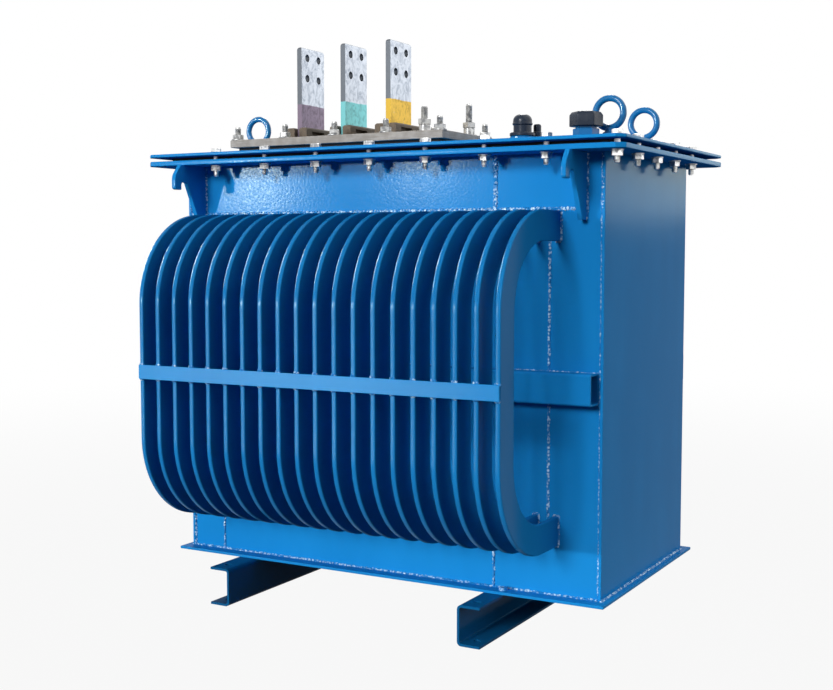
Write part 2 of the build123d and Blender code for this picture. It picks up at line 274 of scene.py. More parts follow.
class StageSettings(bpy.types.PropertyGroup):
    """Camera, lamps and floor."""

    camera_place: point("Camera", "Place of the camera", (1.3266, -2.4648, 0.7502))
    camera_turn: FloatVectorProperty(
        name="Camera turn",
        description="Rotation of the camera",
        default=(math.radians(85.70), 0.0, math.radians(29.14)),
        subtype="EULER",
    )
    lens: FloatProperty(name="Lens", description="Focal length in millimetres", default=54.595)
    key_way: point("Key light", "Way that the key light travels", (0.69, 1.0, -0.10))
    key_strength: lamp_level("Key level", "Strength of the key light", 1.40)
    soft_way: point("Soft light", "Way that the soft light travels", (0.10, 1.0, -0.36))
    soft_strength: lamp_level("Soft level", "Strength of the soft light", 2.32)
    side_way: point("Side light", "Way that the side light travels", (-1.0, -0.45, -0.80))
    side_strength: lamp_level("Side level", "Strength of the side light", 1.8)
    rear_way: point("Rear light", "Way that the rear light travels", (0.35, -0.75, -0.75))
    rear_strength: lamp_level("Rear level", "Strength of the rear light", 0.9)
    left_sheen: point("Left sheen", "Where the front wall shines", (-0.318, -0.243, 0.888))
    left_sheen_strength: lamp_level("Left sheen level", "Strength of that shine", 2.0)
    right_sheen: point("Right sheen", "Where the wall shines again", (0.105, -0.243, 0.912))
    right_sheen_strength: lamp_level("Right sheen level", "Strength of that shine", 1.05)
    tube_sheen: point("Tube sheen", "Where the tubes' noses shine", (0.0, -0.511, 0.49))
    tube_sheen_strength: lamp_level("Tube sheen level", "Strength of that shine", 2.2)
    bend_sheen: point("Bend sheen", "Where the tubes' bends shine", (-0.1, -0.46, 0.75))
    bend_sheen_strength: lamp_level("Bend sheen level", "Strength of that shine", 30.0)
    end_sheen: point("End sheen", "Where the end wall shines", (0.489, 0.0, 1.13))
    end_sheen_strength: lamp_level("End sheen level", "Strength of that shine", 0.28)
    sheen_tint: colour("Sheen tint", "Colour of the shines", (0.84, 1.0, 0.92))
    ambient: share("Ambient", "Level of the light from all round", 0.06)
    floor_glow: share("Floor glow", "How white the floor is to the camera", 0.93)
    floor_size: length("Floor size", "Side of the floor", 40.0)


class Socket:
    """An output of a shader node that can take part in sums."""

    def __init__(self, finish, out):
        self.finish = finish
        self.out = out

    def _sum(self, operation, first, second):
        return self.finish.add("ShaderNodeMath", {"operation": operation}, {0: first, 1: second})

    def __add__(self, other):
        return self._sum("ADD", self, other)

    def __radd__(self, other):
        return self._sum("ADD", other, self)

    def __sub__(self, other):
        return self._sum("SUBTRACT", self, other)

    def __rsub__(self, other):
        return self._sum("SUBTRACT", other, self)

    def __mul__(self, other):
        return self._sum("MULTIPLY", self, other)

    def __rmul__(self, other):
        return self._sum("MULTIPLY", other, self)


class Finish:
    """A node tree and the ways to add to it."""

    def __init__(self, owner):
        self.owner = owner
        owner.use_nodes = True
        self.tree = owner.node_tree
        self.tree.nodes.clear()

    def add(self, kind, settings=None, sockets=None, out=0):
        """Adds one node: its settings first, then the values or links of its sockets."""
        node = self.tree.nodes.new(kind)
        for key, value in (settings or {}).items():
            setattr(node, key, value)
        for key, value in (sockets or {}).items():
            if isinstance(value, Socket):
                self.tree.links.new(value.out, node.inputs[key])
            elif node.inputs[key].type == "RGBA" and len(value) == 3:
                node.inputs[key].default_value = (*value, 1.0)
            else:
                node.inputs[key].default_value = value
        return Socket(self, node.outputs[out]) if len(node.outputs) else None

    def place(self, scale=(1, 1, 1)):
        """Object coordinates, stretched if asked for."""
        spot = self.add("ShaderNodeTexCoord", out="Object")
        return self.add("ShaderNodeMapping", None, {"Vector": spot, "Scale": scale})

    def part(self, vector, axis):
        """One part of a vector."""
        return self.add("ShaderNodeSeparateXYZ", None, {0: vector}, axis)

    def height(self):
        """Height over the floor."""
        return self.part(self.add("ShaderNodeTexCoord", out="Object"), "Z")

    def sideways(self):
        """1 on faces that look along X, 0 on the others."""
        lean = self.part(self.add("ShaderNodeNewGeometry", out="Normal"), "X")
        return self.step(self.add("ShaderNodeMath", {"operation": "ABSOLUTE"}, {0: lean}), 0.45, 0.85)

    def under(self):
        """1 on faces that look down, 0 on the others."""
        lean = self.part(self.add("ShaderNodeNewGeometry", out="Normal"), "Z")
        return self.step(0 - lean, 0.80, 0.95)

    def noise(self, place, scale, detail=2.0, roughness=0.5, distortion=0.0):
        """Soft noise from 0 to 1."""
        values = {"Scale": scale, "Detail": detail, "Roughness": roughness, "Distortion": distortion}
        return self.add("ShaderNodeTexNoise", None, {"Vector": place, **values})

    def step(self, value, low, high):
        """0 under low, 1 over high, smooth between."""
        limits = {"Value": value, "From Min": low, "From Max": high}
        return self.add("ShaderNodeMapRange", {"interpolation_type": "SMOOTHSTEP"}, limits)

    def mix(self, factor, first, second):
        """Blend of two colours."""
        return self.add("ShaderNodeMix", {"data_type": "RGBA"}, {0: factor, 6: first, 7: second}, 2)

    def bump(self, height, strength, distance):
        """Normal of a relief."""
        values = {"Strength": strength, "Distance": distance, "Height": height}
        return self.add("ShaderNodeBump", None, values)

    def surface(self, **sockets):
        """Principled surface; names are the socket's with _ for a space."""
        named = {key.replace("_", " "): value for key, value in sockets.items()}
        self.output(self.add("ShaderNodeBsdfPrincipled", None, named))

    def output(self, shader):
        """Link a shader to the tree's output."""
        world = isinstance(self.owner, bpy.types.World)
        kind = "ShaderNodeOutputWorld" if world else "ShaderNodeOutputMaterial"
        self.add(kind, None, {"Surface": shader})


def colours():
    """The colours in use."""
    return bpy.context.scene.transformer_colours


def darker(tone, depth):
    """A colour times a depth under 1."""
    return tuple(part * depth for part in tone)


PLATE_SHEEN = 0.14
TUBE_SHEEN = 0.16
UNDERSIDE_DULLING = 0.75
PLAIN_GLOSS = 0.01
TUBE_GLOSS = 0.03
# Painted shade: the tubes' paint is the plate paint darkened to this share.
TUBE_PAINTED_SHADE = 0.76
FITTING_GLOSS = 0.22
# Painted shade: the rings' and sockets' paint is the plate paint darkened to this share.
FITTING_PAINTED_SHADE = 0.62
# Painted shade: the skids' paint is the plate paint darkened to this share.
SKID_PAINTED_SHADE = 0.42
CLOUD_SCALE = 3.1
DRIFT_SCALE = 16.0
PEEL_SCALE = 190.0
PEEL_RELIEF = 0.00017
SPECK_SCALE = 700.0


def make_paint(finish, sheen, gloss=PLAIN_GLOSS, depth=1.0):
    """Glossy blue paint with an orange-peel skin, faint clouds and faint pale flecks; depth under 1
    darkens all of it, which paints shade onto the tubes, the rings and sockets, and the skids.
    """
    spot = finish.place()
    cloud = finish.noise(spot, CLOUD_SCALE, 4.0)
    drift = finish.noise(finish.place((1, 1, 0.22)), DRIFT_SCALE, 3.0)
    peel = finish.noise(spot, PEEL_SCALE, 1.0, 0.4)
    # Random pale flecks over the paint, a tenth of the way toward the weld crests' pale colour.
    speck = finish.step(finish.noise(spot, SPECK_SCALE, 1.0), 0.70, 0.80) * 0.10
    deep, plain = darker(colours().deep_blue, depth), darker(colours().blue, depth)
    tint = finish.mix(finish.step(cloud * 0.7 + drift * 0.3, 0.36, 0.66), deep, plain)
    uneven = (cloud - 0.5) * 0.06 + (peel - 0.5) * 0.12
    finish.surface(
        Base_Color=finish.mix(speck, tint, colours().pale_fleck_and_painted_glint),
        Roughness=sheen + uneven + finish.under() * UNDERSIDE_DULLING,
        Specular_IOR_Level=gloss,
        Normal=finish.bump(peel, 0.50, PEEL_RELIEF),
    )


GLINT_PITCH = 0.0056


def make_weld(finish):
    """Paint over weld ripples, with pale painted highlights on the crests."""
    spot = finish.place()
    cells = {"Vector": spot, "Scale": 1.0 / GLINT_PITCH}
    ripple = finish.add("ShaderNodeTexVoronoi", None, cells, "Distance")
    wide = finish.noise(spot, 30.0, 2.0)
    # Painted highlight: the pale colour on the ripple crests, in patches, stands in for highlights.
    pale_fleck_and_painted_glint = (1 - finish.step(ripple, 0.34, 0.58)) * finish.step(wide, 0.22, 0.52)
    finish.surface(
        Base_Color=finish.mix(pale_fleck_and_painted_glint * 0.68, colours().weld_blue, colours().pale_fleck_and_painted_glint),
        Roughness=0.34 - pale_fleck_and_painted_glint * 0.12,
        Specular_IOR_Level=0.2,
        Normal=finish.bump(1 - ripple, 0.25, 0.0008),
    )


BRIGHT_METAL = 0.9
DULL_METAL = 0.6
DULL_DEPTH = 0.62


def make_zinc(finish, metallic, depth=1.0):
    """Zinc plating with dull clouds and fine turning marks; depth under 1 darkens it."""
    cloud = finish.noise(finish.place(), 120.0, 3.0)
    fine = finish.noise(finish.place((1, 1, 6)), 700.0, 2.0)
    bright, dull = darker(colours().zinc, depth), darker(colours().zinc_dull, depth)
    finish.surface(
        Base_Color=finish.mix(finish.step(cloud, 0.44, 0.62), bright, dull),
        Metallic=metallic,
        Roughness=0.26 + cloud * 0.16 + (fine - 0.5) * 0.10,
        Normal=finish.bump(fine, 0.10, 0.0004),
    )


BAND_TOP = 1.0675
BAND_RAGGED = 0.0022
BAND_BLUR = 0.0006
# Painted shade: the band keeps this share of its colour on faces that don't look along X.
BAND_PAINTED_SHADE = 0.70
BAND_SCUFF = 0.45


def make_bar(finish, band):
    """Tinned bar with smears, and a brushed colour band at its foot; its faces that don't look along X
    get painted shade.
    """
    spot = finish.place()
    smear = finish.noise(finish.place((1, 1, 0.8)), 70.0, 5.0, 0.62, 1.2)
    fine = finish.noise(finish.place((1, 2.2, 0.4)), 420.0, 3.0)
    ragged = finish.noise(spot, 55.0, 3.0)
    worn = finish.noise(spot, 120.0, 4.0, 0.65)
    edge = finish.height() + (ragged - 0.5) * (2 * BAND_RAGGED)
    painted = 1 - finish.step(edge, BAND_TOP - BAND_BLUR, BAND_TOP + BAND_BLUR)
    painted = painted * (1 - finish.step(worn, 0.66, 0.72) * 0.65)
    bare = finish.mix(finish.step(smear, 0.42, 0.66), colours().tin, colours().tin_dark)
    # Painted shade on the faces that don't look along X.
    bare = finish.mix(finish.sideways(), colours().tin_painted_shade, bare)
    tone = getattr(colours(), band)
    tint = finish.mix(finish.step(smear, 0.44, 0.66) * 0.6, tone, darker(tone, BAND_SCUFF))
    # Painted shade on the band's faces that don't look along X.
    tint = finish.mix(finish.sideways(), darker(tone, BAND_PAINTED_SHADE), tint)
    finish.surface(
        Base_Color=finish.mix(painted, bare, tint),
        Metallic=0.85 - painted * 0.15,
        Roughness=0.30 + smear * 0.22 + painted * 0.10,
        Normal=finish.bump(smear * 0.6 + fine * 0.4 + painted * 0.4, 0.14, 0.0008),
    )


PLY = 0.0011


def make_laminate(finish):
    """Pressed board: thin plies on the edges, a dusty mottled skin."""
    spot = finish.place()
    ply = finish.noise(finish.place((0.02, 0.02, 1)), 1.0 / PLY, 1.0)
    mottle = finish.noise(spot, 34.0, 5.0, 0.62)
    dust = finish.noise(spot, 260.0, 3.0)
    shade = finish.step(ply * 0.45 + mottle * 0.55, 0.40, 0.66)
    finish.surface(
        Base_Color=finish.mix(shade, colours().laminate_dark, colours().laminate),
        Roughness=0.58 + dust * 0.20,
        Normal=finish.bump(ply * 0.6 + dust * 0.4, 0.20, 0.0006),
    )


def make_block(finish):
    """Brown clamp blocks with a wood-like grain."""
    grain = finish.noise(finish.place((9, 1, 9)), 46.0, 4.0, 0.6)
    dust = finish.noise(finish.place(), 300.0, 2.0)
    finish.surface(
        Base_Color=finish.mix(finish.step(grain, 0.35, 0.70), colours().block_dark, colours().block),
        Roughness=0.55 + dust * 0.2,
        Normal=finish.bump(grain, 0.25, 0.0006),
    )


def make_rubber(finish):
    """Dull black gasket."""
    grain = finish.noise(finish.place(), 500.0, 2.0)
    finish.surface(
        Base_Color=finish.mix(grain * 0.3, colours().rubber, colours().rubber_worn),
        Roughness=0.62 + grain * 0.2,
        Specular_IOR_Level=0.3,
        Normal=finish.bump(grain, 0.2, 0.0004),
    )


def make_plastic(finish):
    """Moulded black plastic with a soft gloss."""
    spot = finish.place()
    mould = finish.noise(spot, 900.0, 2.0)
    dust = finish.noise(spot, 70.0, 4.0)
    finish.surface(
        Base_Color=finish.mix(finish.step(dust, 0.56, 0.80) * 0.3, colours().plastic, colours().dust),
        Roughness=0.20 + dust * 0.14,
        Specular_IOR_Level=0.25,
        Normal=finish.bump(mould, 0.08, 0.0002),
    )


LOOKS = {
    "plate_paint": (make_paint, PLATE_SHEEN),
    # Painted shade: the tubes get the plate paint darkened.
    "tube_paint": (make_paint, TUBE_SHEEN, TUBE_GLOSS, TUBE_PAINTED_SHADE),
    "strap_paint": (make_paint, TUBE_SHEEN, TUBE_GLOSS),
    # Painted shade: rings and sockets get the plate paint darkened.
    "fitting_paint": (make_paint, TUBE_SHEEN, FITTING_GLOSS, FITTING_PAINTED_SHADE),
    # Painted shade: the skids get the plate paint darkened.
    "skid_paint": (make_paint, TUBE_SHEEN, PLAIN_GLOSS, SKID_PAINTED_SHADE),
    "weld_paint": (make_weld,),
    "zinc_plating": (make_zinc, BRIGHT_METAL),
    "dull_plating": (make_zinc, DULL_METAL, DULL_DEPTH),
    "tinned_bar_left": (make_bar, "band_left"),
    "tinned_bar_middle": (make_bar, "band_middle"),
    "tinned_bar_right": (make_bar, "band_right"),
    "pressed_laminate": (make_laminate,),
    "clamp_block": (make_block,),
    "gasket_rubber": (make_rubber,),
    "moulded_plastic": (make_plastic,),
}
SLOT_LOOKS = {
    PAINT_SLOT: "plate_paint",
    "black_rubber": "gasket_rubber",
    "laminate": "pressed_laminate",
    "laminate_block": "clamp_block",
    "tinned_left": "tinned_bar_left",
    "tinned_middle": "tinned_bar_middle",
    "tinned_right": "tinned_bar_right",
    "plated_steel": "zinc_plating",
    "black_plastic": "moulded_plastic",
}
TUBE_LOOKS = ("tube_paint", "strap_paint")
PIECES = "pieces"
PAINTED = "painted_pieces"
TUBES = "painted_tubes"


def look(name):
    """The finish of that name, made once."""
    found = bpy.data.materials.get(name)
    if found is None:
        found = bpy.data.materials.new(name)
        make, *settings = LOOKS[name]
        make(Finish(found), *settings)
    return found


def gathered(name):
    """Collection of that name, for the sheen lamps."""
    return bpy.data.collections.get(name) or bpy.data.collections.new(name)


def gather(piece, slot, look_name):
    """Put a piece among those that shade the sheen lamps, and those that shine in them."""
    gathered(PIECES).objects.link(piece)
    if slot == PAINT_SLOT:
        gathered(PAINTED).objects.link(piece)
    if look_name in TUBE_LOOKS:
        gathered(TUBES).objects.link(piece)


SMOOTH_ANGLE = math.radians(34)
EASED_ANGLE = math.radians(40)
MERGE_GAP = 0.00001
FLAT_ANGLE = math.radians(0.4)


def fresh():
    """Object mode with nothing selected."""
    active = bpy.context.view_layer.objects.active
    if active is not None and active.mode != "OBJECT":
        bpy.ops.object.mode_set(mode="OBJECT")
    bpy.ops.object.select_all(action="DESELECT")


def choose(piece):
    """Make one piece the only selected one."""
    fresh()
    piece.select_set(True)
    bpy.context.view_layer.objects.active = piece


@contextmanager
def editing(piece, kind="FACE"):
    """Edit mode on one piece."""
    choose(piece)
    bpy.ops.object.mode_set(mode="EDIT")
    bpy.ops.mesh.select_mode(type=kind)
    yield
    bpy.ops.object.mode_set(mode="OBJECT")


def unpick(piece):
    """Select nothing in a piece's mesh."""
    mesh = piece.data
    for parts in (mesh.vertices, mesh.edges, mesh.polygons):
        parts.foreach_set("select", [False] * len(parts))


def pick_faces(piece, test):
    """Select the faces whose middle and normal pass a test."""
    unpick(piece)
    for face in piece.data.polygons:
        face.select = test(face.center, face.normal)


def pick_edges(piece, test):
    """Select the edges whose two ends pass a test."""
    unpick(piece)
    spots = piece.data.vertices
    for edge in piece.data.edges:
        edge.select = test(*(spots[number].co for number in edge.vertices))


def settle(piece):
    """Put a piece's place into its mesh."""
    choose(piece)
    bpy.ops.object.transform_apply(location=True, rotation=True, scale=True)


def face_out(piece):
    """Merge doubled points and turn every face outwards."""
    with editing(piece):
        bpy.ops.mesh.select_all(action="SELECT")
        bpy.ops.mesh.remove_doubles(threshold=MERGE_GAP)
        bpy.ops.mesh.normals_make_consistent(inside=False)


def draw_out(way):
    """Extrude the selected faces."""
    bpy.ops.mesh.extrude_region_move(TRANSFORM_OT_translate={"value": tuple(way)})


def apply_modifier(piece, kind, **settings):
    """Add a modifier and apply it."""
    choose(piece)
    modifier = piece.modifiers.new(kind.lower(), kind)
    for key, value in settings.items():
        setattr(modifier, key, value)
    bpy.ops.object.modifier_apply(modifier=modifier.name)


def round_edges(piece, width, segments, least_angle):
    """Bevel the edges that are sharper than an angle."""
    apply_modifier(
        piece, "BEVEL", width=width, segments=segments, limit_method="ANGLE", angle_limit=least_angle
    )


def join(pieces):
    """One piece out of several."""
    choose(pieces[0])
    for piece in pieces:
        piece.select_set(True)
    if len(pieces) > 1:
        bpy.ops.object.join()
    settle(bpy.context.object)
    return bpy.context.object


def repeated(model, places):
    """Copies of a modelled piece, each made with its own mesh, as one piece."""
    made = []
    for place in places:
        twin = model.copy()
        twin.data = model.data.copy()
        bpy.context.collection.objects.link(twin)
        twin.matrix_world = place
        made.append(twin)
    bpy.context.view_layer.update()
    return join(made)


def hand_over(piece, name, slot, look_name, *nodes):
    """Name, finish and hang a piece on the frame."""
    settle(piece)
    piece.name = name
    piece.data.name = name
    piece.data.materials.clear()
    piece.data.materials.append(look(look_name))
    bpy.ops.object.shade_smooth_by_angle(angle=SMOOTH_ANGLE)
    apply_modifier(piece, "WEIGHTED_NORMAL", keep_sharp=True)
    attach(piece, BODY)
    gather(piece, slot, look_name)
    if nodes:
        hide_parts(*nodes)


def eased(node, easing, steps=2, shape=None):
    """A merged copy of a solid with rounded edges; shape may change it before that."""
    piece = bpy.data.objects.new(node + "_eased", NODES[node].data.copy())
    bpy.context.collection.objects.link(piece)
    with editing(piece, "VERT"):
        bpy.ops.mesh.customdata_custom_splitnormals_clear()
        bpy.ops.mesh.select_all(action="SELECT")
        bpy.ops.mesh.remove_doubles(threshold=MERGE_GAP)
        bpy.ops.mesh.dissolve_limited(angle_limit=FLAT_ANGLE)
    if shape is not None:
        shape(piece)
    round_edges(piece, easing, steps, EASED_ANGLE)
    return piece


HEXAGON = 6


def turned(profile, sides=20):
    """A round or hexagonal piece: a disc drawn up through pairs of radius and height."""
    fresh()
    radius, height = profile[0]
    bpy.ops.mesh.primitive_circle_add(
        vertices=sides, radius=radius, fill_type="NGON", location=(0, 0, height)
    )
    piece = bpy.context.object
    with editing(piece):
        bpy.ops.mesh.select_all(action="SELECT")
        for wide, high in profile[1:]:
            draw_out((0, 0, high - height))
            if wide != radius:
                grow = wide / radius
                bpy.ops.transform.resize(value=(grow, grow, 1), center_override=(0, 0, high))
            radius, height = wide, high
    settle(piece)
    face_out(piece)
    return piece


def hexagon(corner, bottom, top, chamfer):
    """Profile of a hexagon with a chamfered top and bottom edge."""
    cut = corner - chamfer
    return [(cut, bottom), (corner, bottom + chamfer / 2), (corner, top - chamfer / 2), (cut, top)]


THREAD_ROOT = 0.86
TIP_SHARES = (0.92, 0.6)
TIP_PITCHES = 0.4


def thread(radius, bottom, top, pitch):
    """Profile of a thread: crests and roots one above the other, and a rounded tip."""
    root = radius * THREAD_ROOT
    profile = [(root, bottom)]
    crests = max(2, int((top - bottom) / pitch) - 1)
    for crest in range(crests):
        profile.append((radius, bottom + (crest + 0.5) * pitch))
        profile.append((root, bottom + (crest + 1) * pitch))
    shoulder, tip = TIP_SHARES
    return profile + [(root * shoulder, top - pitch * TIP_PITCHES), (root * tip, top)]


def moved(x, y, z, turn=0.0):
    """Place of a copy, turned about +Z."""
    return Matrix.Translation((x, y, z)) @ Matrix.Rotation(turn, 4, "Z")


def behind(place):
    """The same place on the back: half a turn about the tank's middle upright."""
    return HALF_TURN @ place


def mount_spot(name):
    """Place of one of the record's mounts."""
    return next(mount["pos_m"] for mount in frame["record"]["mounts"] if mount["name"] == name)


def tube_places(bank, group):
    """Places of one group's tubes, which are modelled in the plane x = 0 of the front bank."""
    sizes = bpy.context.scene.transformer_tubes
    low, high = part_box(f"{bank}_tubes_{group}")
    first = low.x + sizes.thickness / 2
    pitch = (high.x - low.x - sizes.thickness) / (sizes.per_group - 1)
    spots = [first + number * pitch for number in range(sizes.per_group)]
    if bank == "back":
        return [behind(Matrix.Translation((-spot, 0, 0))) for spot in spots]
    return [Matrix.Translation((spot, 0, 0)) for spot in spots]


RIPPLE_OVERLAP = 1.55
RIPPLE_SIDES = 6
RIPPLE_RINGS = 4


def bead(run, seed, width):
    """Overlapping weld ripples along +X, half sunk at z = 0."""
    sizes = bpy.context.scene.transformer_welds
    count = max(2, round(run / sizes.pitch))
    step = run / count
    fresh()
    bpy.ops.mesh.primitive_uv_sphere_add(segments=RIPPLE_SIDES, ring_count=RIPPLE_RINGS, radius=0.5)
    row = bpy.context.object
    ripple = (step * RIPPLE_OVERLAP, width, sizes.height * 2)
    with editing(row):
        bpy.ops.mesh.select_all(action="SELECT")
        bpy.ops.transform.resize(value=ripple, center_override=(0, 0, 0))
        bpy.ops.transform.translate(value=(step / 2, 0, 0))
    apply_modifier(
        row,
        "ARRAY",
        fit_type="FIXED_COUNT",
        count=count,
        use_relative_offset=False,
        use_constant_offset=True,
        constant_offset_displace=(step, 0, 0),
    )
    with editing(row, "VERT"):
        bpy.ops.mesh.select_all(action="SELECT")
        bpy.ops.transform.vertex_random(offset=sizes.unevenness, uniform=1.0, normal=0.0, seed=seed)
    return row


def along(start, end, out):
    """Place of a bead that runs from start to end and stands out along out."""
    ahead = (end - start).normalized()
    lift = Vector(out).normalized()
    turn = Matrix((ahead, lift.cross(ahead), lift)).transposed().to_4x4()
    return Matrix.Translation(start) @ turn


def laid(runs, first_seed, width):
    """Beads along a list of (start, end, outward way)."""
    rows = []
    for number, (start, end, out) in enumerate(runs):
        start, end = Vector(start), Vector(end)
        row = bead((end - start).length, first_seed + number, width)
        row.matrix_world = along(start, end, out)
        rows.append(row)
    return rows


class TRANSFORMER_OT_solids(bpy.types.Operator):
    """Give every solid of the frame its finish"""

    bl_idname = "transformer.solids"
    bl_label = "Finish the solids"

    def execute(self, context):
        for part in frame["record"]["subparts"]:
            solid, slot = NODES[part["node"]], part["material_slot"]
            gather(solid, slot, SLOT_LOOKS[slot])
            solid.data.materials.clear()
            solid.data.materials.append(look(SLOT_LOOKS[slot]))
        return {"FINISHED"}


class TRANSFORMER_OT_plates(bpy.types.Operator):
    """Plates, channels, lugs and straps with rounded edges"""

    bl_idname = "transformer.plates"
    bl_label = "Plates and channels"

    def execute(self, context):
        sizes = context.scene.transformer_plates
        plates = ["base_plate", "left_wall", "right_wall", "rim_flange", "cover", "terminal_collar"]
        for bank in BANKS:
            plates += [f"{bank}_{name}" for name in ("tube_strap", "stiffener", "left_lug", "right_lug")]
        for node in plates:
            paint = "strap_paint" if node.endswith("strap") else "plate_paint"
            hand_over(eased(node, sizes.easing), node + "_steel", PAINT_SLOT, paint, node)
        for node in ("left_skid", "right_skid"):
            skid = eased(node, sizes.skid_easing)
            hand_over(skid, node + "_steel", PAINT_SLOT, "skid_paint", node)
        return {"FINISHED"}


class TRANSFORMER_OT_tubes(bpy.types.Operator):
    """Flat cooling tubes, bent twice, with rounded edges"""

    bl_idname = "transformer.tubes"
    bl_label = "Cooling tubes"

    ROUNDING_STEPS = 3

    def tube(self, sizes):
        """One tube in the plane x = 0: drawn out of the wall, spun down, and spun back."""
        low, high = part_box("front_tubes_1")
        half = sizes.width / 2
        straight = high.y - low.y - half - sizes.bend
        middle = high.y - straight
        fresh()
        bpy.ops.mesh.primitive_plane_add(
            size=1, location=(0, high.y, high.z - half), rotation=(QUARTER_TURN, 0, 0)
        )
        tube = bpy.context.object
        tube.scale = (sizes.thickness, sizes.width, 1)
        settle(tube)
        with editing(tube):
            bpy.ops.mesh.select_all(action="SELECT")
            bpy.ops.mesh.bevel(offset=sizes.rounding, segments=self.ROUNDING_STEPS, affect="VERTICES")
            bpy.ops.mesh.select_all(action="SELECT")
            draw_out((0, -straight, 0))
            self.spin(sizes, middle, high.z - half - sizes.bend)
            draw_out((0, 0, (low.z - high.z) + 2 * (half + sizes.bend)))
            self.spin(sizes, middle, low.z + half + sizes.bend)
            draw_out((0, straight, 0))
        face_out(tube)
        return tube

    def spin(self, sizes, y, z):
        """One bend about a level axis."""
        bpy.ops.mesh.spin(
            steps=sizes.bend_steps, angle=-QUARTER_TURN, center=(0, y, z), axis=(1, 0, 0)
        )

    def execute(self, context):
        model = self.tube(context.scene.transformer_tubes)
        for bank in BANKS:
            for group in GROUPS:
                tubes = repeated(model, tube_places(bank, group))
                name, node = f"{bank}_cooling_tubes_{group}", f"{bank}_tubes_{group}"
                hand_over(tubes, name, PAINT_SLOT, "tube_paint", node)
        bpy.data.objects.remove(model)
        return {"FINISHED"}


class TRANSFORMER_OT_welds(bpy.types.Operator):
    """Weld beads on the tank, the tube roots, the lugs and the straps"""

    bl_idname = "transformer.welds"
    bl_label = "Weld beads"

    WALL_SEED = 1
    THIN_SEED = 20
    UPPER_SEED = 30
    END_SEED = 40
    ROOT_SEED = 60
    STRAP_SEED = 80

    def wall_runs(self, sizes):
        """Seams of the front wall, its corners, base, lugs and stiffener."""
        low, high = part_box("front_wall")
        face, foot, top = low.y, low.z, high.z
        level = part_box("front_tubes_1")[1].z + sizes.top_seam_rise
        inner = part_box("right_wall")[0].x
        lugs = [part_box("front_right_lug"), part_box("front_left_lug")]
        right_lug_side = lugs[0][0].x
        bar_low, bar_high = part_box("front_stiffener")
        bar_top, bar_foot = bar_high.z - sizes.stiffener_sink, bar_low.z + sizes.stiffener_sink
        runs = [
            ((-inner, face, foot), (inner, face, foot), (0, -1, 1)),
            ((inner, face, foot), (inner, face, level), (-1, -1, 0)),
            ((-inner, face, foot), (-inner, face, top), (1, -1, 0)),
            ((-inner, face, level), (right_lug_side, face, level), FRONT),
            ((bar_low.x, face, bar_top), (bar_high.x, face, bar_top), (0, -1, 1)),
            ((bar_low.x, face, bar_foot), (bar_high.x, face, bar_foot), (0, -1, -1)),
        ]
        for lug_low, lug_high in lugs:
            for side, x in ((-1, lug_low.x), (1, lug_high.x)):
                runs.append(((x, face, lug_low.z), (x, face, lug_high.z), (side, -1, 0)))
        return runs

    def thin_runs(self, sizes):
        """Narrow upright seams: two under the tubes and one behind the last tube."""
        face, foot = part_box("front_wall")[0].yz
        low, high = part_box("front_tubes_1")
        bar_low, bar_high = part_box("front_stiffener")
        runs = [
            (sizes.wide_seam, foot, low.z),
            (sizes.left_seam, foot, low.z),
            (sizes.right_seam, low.z, bar_low.z),
            (sizes.right_seam, bar_high.z, high.z),
        ]
        return [((x, face, bottom), (x, face, top), FRONT) for x, bottom, top in runs]

    def upper_runs(self, sizes):
        """Wider beads over the tubes: the wide seam and the right corner."""
        low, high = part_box("front_wall")
        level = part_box("front_tubes_1")[1].z
        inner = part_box("right_wall")[0].x
        return [
            ((sizes.wide_seam, low.y, level), (sizes.wide_seam, low.y, high.z), FRONT),
            ((inner, low.y, level), (inner, low.y, high.z), (-1, -1, 0)),
        ]

    def end_runs(self):
        """Foot of the right end wall."""
        low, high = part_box("right_wall")
        return [((high.x, low.y, low.z), (high.x, high.y, low.z), (1, 0, 1))]

    def root_runs(self, tubes):
        """Beads around both roots of one tube in the plane x = 0."""
        low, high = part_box("front_tubes_1")
        half = tubes.thickness / 2
        face = high.y
        runs = []
        for bottom in (low.z, high.z - tubes.width):
            top = bottom + tubes.width
            runs += [
                ((half, face, bottom), (half, face, top), (1, -1, 0)),
                ((-half, face, bottom), (-half, face, top), (-1, -1, 0)),
                ((-half, face, top), (half, face, top), (0, -1, 1)),
                ((-half, face, bottom), (half, face, bottom), (0, -1, -1)),
            ]
        return runs

    def strap_runs(self, tubes):
        """Short beads where the strap crosses one tube in the plane x = 0."""
        low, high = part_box("front_tube_strap")
        half = tubes.thickness / 2
        return [
            ((-half, high.y, high.z), (half, high.y, high.z), (0, -1, 1)),
            ((-half, high.y, low.z), (half, high.y, low.z), (0, -1, -1)),
        ]

    def spread(self, model, places_by_name):
        """Hand over copies of a modelled set of beads, and remove the model."""
        for name, places in places_by_name.items():
            hand_over(repeated(model, places), name, PAINT_SLOT, "weld_paint")
        bpy.data.objects.remove(model)

    def execute(self, context):
        sizes = context.scene.transformer_welds
        tubes = context.scene.transformer_tubes
        wall = join(
            laid(self.wall_runs(sizes), self.WALL_SEED, sizes.width)
            + laid(self.thin_runs(sizes), self.THIN_SEED, sizes.thin_seam_width)
            + laid(self.upper_runs(sizes), self.UPPER_SEED, sizes.upper_seam_width)
        )
        end = join(laid(self.end_runs(), self.END_SEED, sizes.width))
        roots = join(
            laid(self.root_runs(tubes), self.ROOT_SEED, sizes.width)
            + laid(self.strap_runs(tubes), self.STRAP_SEED, sizes.width)
        )
        self.spread(end, {"end_wall_welds": [IN_PLACE, HALF_TURN]})
        self.spread(wall, {"front_wall_welds": [IN_PLACE], "back_wall_welds": [HALF_TURN]})
        places = {
            bank + "_tube_welds": [place for group in GROUPS for place in tube_places(bank, group)]
            for bank in BANKS
        }
        self.spread(roots, places)
        return {"FINISHED"}


